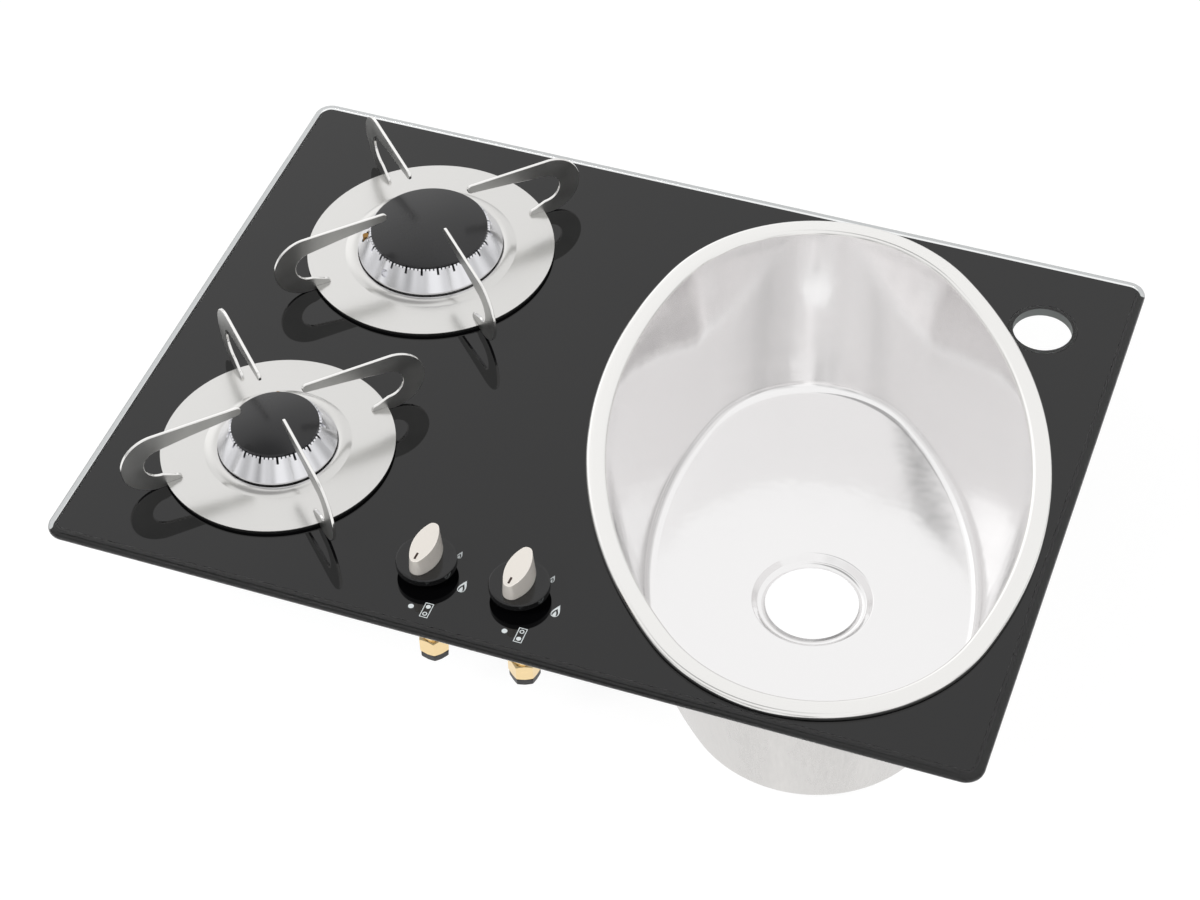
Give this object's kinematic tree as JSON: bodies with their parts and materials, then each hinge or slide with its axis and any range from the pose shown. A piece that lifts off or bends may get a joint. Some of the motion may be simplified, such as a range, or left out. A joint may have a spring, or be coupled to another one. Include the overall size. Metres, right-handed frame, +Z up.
{
  "type": "gas hob and sink unit",
  "caption": "Black glass worktop panel with two gas burners, pan supports and knobs beside an angled oval steel sink; tap hole behind.",
  "frame": {"origin": "centre of the glass panel in plan, on its underside, where it rests on the worktop", "axes": "+X to the right seen from the user, +Y to the rear, +Z up"},
  "size_m": [0.6, 0.435, 0.1735],
  "materials": {
    "black_glass": "gloss",
    "sink_steel": "satin, polished inside",
    "grey_seal": "matte",
    "clip_steel": "satin",
    "screw_steel": "polished",
    "plate_steel": "satin",
    "black_seal": "matte",
    "support_steel": "tumbled",
    "cast_alloy": "cast",
    "crown_alloy": "polished",
    "black_enamel": "satin",
    "jet_brass": "turned",
    "couple_copper": "satin",
    "tray_steel": "galvanised",
    "pipe_alloy": "satin",
    "tap_brass": "cast",
    "plug_brass": "ground",
    "spring_steel": "polished",
    "nut_brass": "polished",
    "cap_plastic": "matte",
    "black_rubber": "matte",
    "dial_plastic": "gloss",
    "grip_plastic": "satin metallic",
    "pointer_plastic": "matte"
  },
  "bodies": {
    "hob": {"glass_panel": "black_glass", "sink_bowl": "sink_steel", "sink_seal": "grey_seal", "sink_clips": "clip_steel", "sink_clip_screws": "screw_steel", "rear_plate": "plate_steel", "front_plate": "plate_steel", "rear_plate_seal": "black_seal", "front_plate_seal": "black_seal", "rear_support_1": "support_steel", "rear_support_2": "support_steel", "rear_support_3": "support_steel", "rear_support_4": "support_steel", "front_support_1": "support_steel", "front_support_2": "support_steel", "front_support_3": "support_steel", "front_support_4": "support_steel", "rear_cup": "cast_alloy", "rear_jet": "jet_brass", "rear_thermocouple": "couple_copper", "rear_gas_pipe": "pipe_alloy", "front_cup": "cast_alloy", "front_jet": "jet_brass", "front_thermocouple": "couple_copper", "front_gas_pipe": "pipe_alloy", "burner_screws": "screw_steel", "under_tray": "tray_steel", "tray_screws": "screw_steel", "tap_screws": "screw_steel", "left_tap_body": "tap_brass", "left_bonnet": "clip_steel", "left_safety_valve": "screw_steel", "left_union_nut": "nut_brass", "left_end_cap": "cap_plastic", "left_grommet": "black_rubber", "right_tap_body": "tap_brass", "right_bonnet": "clip_steel", "right_safety_valve": "screw_steel", "right_union_nut": "nut_brass", "right_end_cap": "cap_plastic", "right_grommet": "black_rubber"},
    "left_valve": {"left_tap_plug": "plug_brass", "left_spring": "spring_steel"},
    "left_knob": {"left_spindle": "screw_steel", "left_dial": "dial_plastic", "left_grip": "grip_plastic", "left_pointer": "pointer_plastic"},
    "right_valve": {"right_tap_plug": "plug_brass", "right_spring": "spring_steel"},
    "right_knob": {"right_spindle": "screw_steel", "right_dial": "dial_plastic", "right_grip": "grip_plastic", "right_pointer": "pointer_plastic"},
    "rear_crown": {"rear_crown": "crown_alloy"},
    "rear_cap": {"rear_cap": "black_enamel"},
    "front_crown": {"front_crown": "crown_alloy"},
    "front_cap": {"front_cap": "black_enamel"}
  },
  "joints": [
    {"name": "left_knob_turn", "type": "hinge", "parent": "hob", "child": "left_valve", "pos_m": [-0.06, -0.17, 0], "axis": [0, 0, 1], "range_deg": [0, 146]},
    {"name": "left_knob_press", "type": "slide", "parent": "left_valve", "child": "left_knob", "axis": [0, 0, -1], "range_m": [0, 0.003], "stiffness_N_per_m": 800, "springref_m": -0.003, "deforming": ["left_spring"]},
    {"name": "right_knob_turn", "type": "hinge", "parent": "hob", "child": "right_valve", "pos_m": [0.0006, -0.17, 0], "axis": [0, 0, 1], "range_deg": [0, 146]},
    {"name": "right_knob_press", "type": "slide", "parent": "right_valve", "child": "right_knob", "axis": [0, 0, -1], "range_m": [0, 0.003], "stiffness_N_per_m": 800, "springref_m": -0.003, "deforming": ["right_spring"]},
    {"name": "rear_crown_lift", "type": "slide", "parent": "hob", "child": "rear_crown", "axis": [0, 0, 1], "range_m": [0, 0.008]},
    {"name": "rear_cap_lift", "type": "slide", "parent": "rear_crown", "child": "rear_cap", "axis": [0, 0, 1], "range_m": [0, 0.006]},
    {"name": "front_crown_lift", "type": "slide", "parent": "hob", "child": "front_crown", "axis": [0, 0, 1], "range_m": [0, 0.008]},
    {"name": "front_cap_lift", "type": "slide", "parent": "front_crown", "child": "front_cap", "axis": [0, 0, 1], "range_m": [0, 0.006]}
  ]
}
